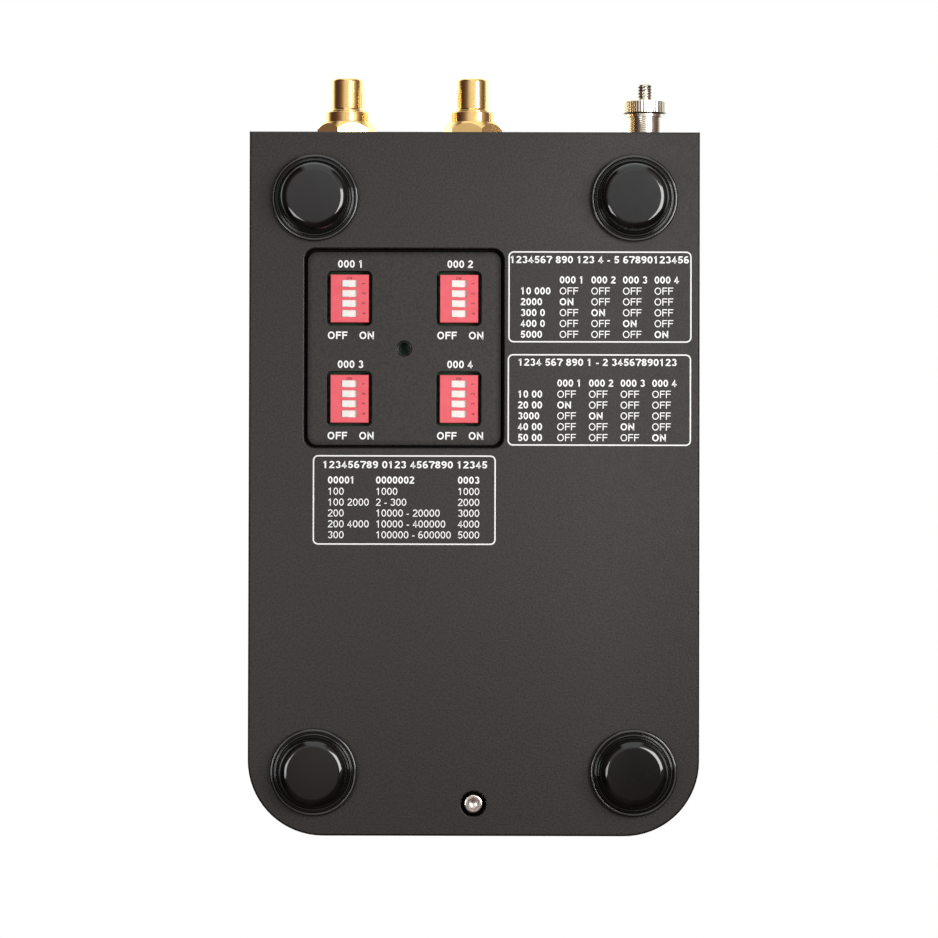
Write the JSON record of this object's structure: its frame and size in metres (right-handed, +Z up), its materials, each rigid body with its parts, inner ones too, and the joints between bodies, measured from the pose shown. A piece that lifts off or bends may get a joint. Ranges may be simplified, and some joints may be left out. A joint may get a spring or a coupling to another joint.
{
  "type": "phono preamp",
  "caption": "Compact phono preamp in a black aluminium case: switch pocket under the case, gold phono sockets and a ground post at the rear, round rubber feet.",
  "frame": {"origin": "on the surface that the feet stand on, under the middle of the whole object's box, sockets included", "axes": "+Z up, +Y towards the rear panel with the sockets, +X to the right seen from the front"},
  "size_m": [0.1142, 0.1932, 0.0529],
  "materials": {
    "black_case": "satin black anodised",
    "black_plate": "fine bead-blasted black anodised",
    "foot_rubber": "glossy moulded",
    "adhesive_foam": "foam tape",
    "stainless": "bright stainless steel",
    "black_steel": "black oxide",
    "zinc_steel": "bright zinc",
    "circuit_board": "solder resist",
    "brass": "turned",
    "gold": "polished gold plate",
    "nickel": "bright nickel plate",
    "red_plastic": "moulded, satin",
    "black_plastic": "moulded",
    "white_plastic": "moulded",
    "ptfe": "turned",
    "nylon": "moulded",
    "led_epoxy": "clear cast",
    "film_box": "moulded box",
    "capacitor_sleeve": "shrunk sleeve",
    "chip_epoxy": "moulded",
    "resistor_lacquer": "lacquered",
    "tinned_copper": "tinned"
  },
  "bodies": {
    "case": {"housing": "black_case", "bottom_plate": "black_plate", "rear_panel": "black_case", "foot_1": "foot_rubber", "foot_2": "foot_rubber", "foot_3": "foot_rubber", "foot_4": "foot_rubber", "foot_pads": "adhesive_foam", "plate_screw": "stainless", "panel_screws": "black_steel", "board": "circuit_board", "board_spacers": "brass", "board_screws": "zinc_steel", "dip_1_cover": "red_plastic", "dip_2_cover": "red_plastic", "dip_3_cover": "red_plastic", "dip_4_cover": "red_plastic", "dip_1_base": "black_plastic", "dip_2_base": "black_plastic", "dip_3_base": "black_plastic", "dip_4_base": "black_plastic", "dip_contacts": "gold", "rca_1_shell": "gold", "rca_2_shell": "gold", "rca_3_shell": "gold", "rca_4_shell": "gold", "rca_insulators": "ptfe", "rca_contacts": "gold", "rca_nuts": "gold", "rca_washers": "nylon", "ground_post": "nickel", "ground_stud": "nickel", "ground_back_nut": "nickel", "power_inlet": "black_plastic", "inlet_pin": "nickel", "power_led": "led_epoxy", "film_capacitors": "film_box", "electrolytic_capacitors": "capacitor_sleeve", "amplifier_chips": "chip_epoxy", "regulators": "chip_epoxy", "resistors": "resistor_lacquer", "signal_wires": "tinned_copper"},
    "dip_1_slider_1": {"dip_1_slider_1": "white_plastic"},
    "dip_1_slider_2": {"dip_1_slider_2": "white_plastic"},
    "dip_1_slider_3": {"dip_1_slider_3": "white_plastic"},
    "dip_1_slider_4": {"dip_1_slider_4": "white_plastic"},
    "dip_2_slider_1": {"dip_2_slider_1": "white_plastic"},
    "dip_2_slider_2": {"dip_2_slider_2": "white_plastic"},
    "dip_2_slider_3": {"dip_2_slider_3": "white_plastic"},
    "dip_2_slider_4": {"dip_2_slider_4": "white_plastic"},
    "dip_3_slider_1": {"dip_3_slider_1": "white_plastic"},
    "dip_3_slider_2": {"dip_3_slider_2": "white_plastic"},
    "dip_3_slider_3": {"dip_3_slider_3": "white_plastic"},
    "dip_3_slider_4": {"dip_3_slider_4": "white_plastic"},
    "dip_4_slider_1": {"dip_4_slider_1": "white_plastic"},
    "dip_4_slider_2": {"dip_4_slider_2": "white_plastic"},
    "dip_4_slider_3": {"dip_4_slider_3": "white_plastic"},
    "dip_4_slider_4": {"dip_4_slider_4": "white_plastic"},
    "ground_washer": {"ground_washer": "nickel"},
    "ground_nut": {"ground_nut": "nickel"}
  },
  "joints": [
    {"name": "dip_1_switch_1", "type": "slide", "parent": "case", "child": "dip_1_slider_1", "axis": [-1, 0, 0], "range_m": [0, 0.002]},
    {"name": "dip_1_switch_2", "type": "slide", "parent": "case", "child": "dip_1_slider_2", "axis": [-1, 0, 0], "range_m": [0, 0.002]},
    {"name": "dip_1_switch_3", "type": "slide", "parent": "case", "child": "dip_1_slider_3", "axis": [-1, 0, 0], "range_m": [0, 0.002]},
    {"name": "dip_1_switch_4", "type": "slide", "parent": "case", "child": "dip_1_slider_4", "axis": [-1, 0, 0], "range_m": [0, 0.002]},
    {"name": "dip_2_switch_1", "type": "slide", "parent": "case", "child": "dip_2_slider_1", "axis": [-1, 0, 0], "range_m": [0, 0.002]},
    {"name": "dip_2_switch_2", "type": "slide", "parent": "case", "child": "dip_2_slider_2", "axis": [-1, 0, 0], "range_m": [0, 0.002]},
    {"name": "dip_2_switch_3", "type": "slide", "parent": "case", "child": "dip_2_slider_3", "axis": [-1, 0, 0], "range_m": [0, 0.002]},
    {"name": "dip_2_switch_4", "type": "slide", "parent": "case", "child": "dip_2_slider_4", "axis": [-1, 0, 0], "range_m": [0, 0.002]},
    {"name": "dip_3_switch_1", "type": "slide", "parent": "case", "child": "dip_3_slider_1", "axis": [-1, 0, 0], "range_m": [0, 0.002]},
    {"name": "dip_3_switch_2", "type": "slide", "parent": "case", "child": "dip_3_slider_2", "axis": [-1, 0, 0], "range_m": [0, 0.002]},
    {"name": "dip_3_switch_3", "type": "slide", "parent": "case", "child": "dip_3_slider_3", "axis": [-1, 0, 0], "range_m": [0, 0.002]},
    {"name": "dip_3_switch_4", "type": "slide", "parent": "case", "child": "dip_3_slider_4", "axis": [-1, 0, 0], "range_m": [0, 0.002]},
    {"name": "dip_4_switch_1", "type": "slide", "parent": "case", "child": "dip_4_slider_1", "axis": [-1, 0, 0], "range_m": [0, 0.002]},
    {"name": "dip_4_switch_2", "type": "slide", "parent": "case", "child": "dip_4_slider_2", "axis": [-1, 0, 0], "range_m": [0, 0.002]},
    {"name": "dip_4_switch_3", "type": "slide", "parent": "case", "child": "dip_4_slider_3", "axis": [-1, 0, 0], "range_m": [0, 0.002]},
    {"name": "dip_4_switch_4", "type": "slide", "parent": "case", "child": "dip_4_slider_4", "axis": [-1, 0, 0], "range_m": [0, 0.002]},
    {"name": "ground_nut_lift", "type": "slide", "parent": "case", "child": "ground_washer", "axis": [0, 1, 0], "range_m": [0, 0.00317]},
    {"name": "ground_nut_turn", "type": "hinge", "parent": "ground_washer", "child": "ground_nut", "pos_m": [-0.044, 0.0877, 0.03231], "axis": [0, 1, 0], "range_deg": [0, 1440.01]}
  ],
  "couplings": [
    {"joint": "ground_nut_turn", "follows": "ground_nut_lift", "rad_per_m": 7915.8}
  ]
}
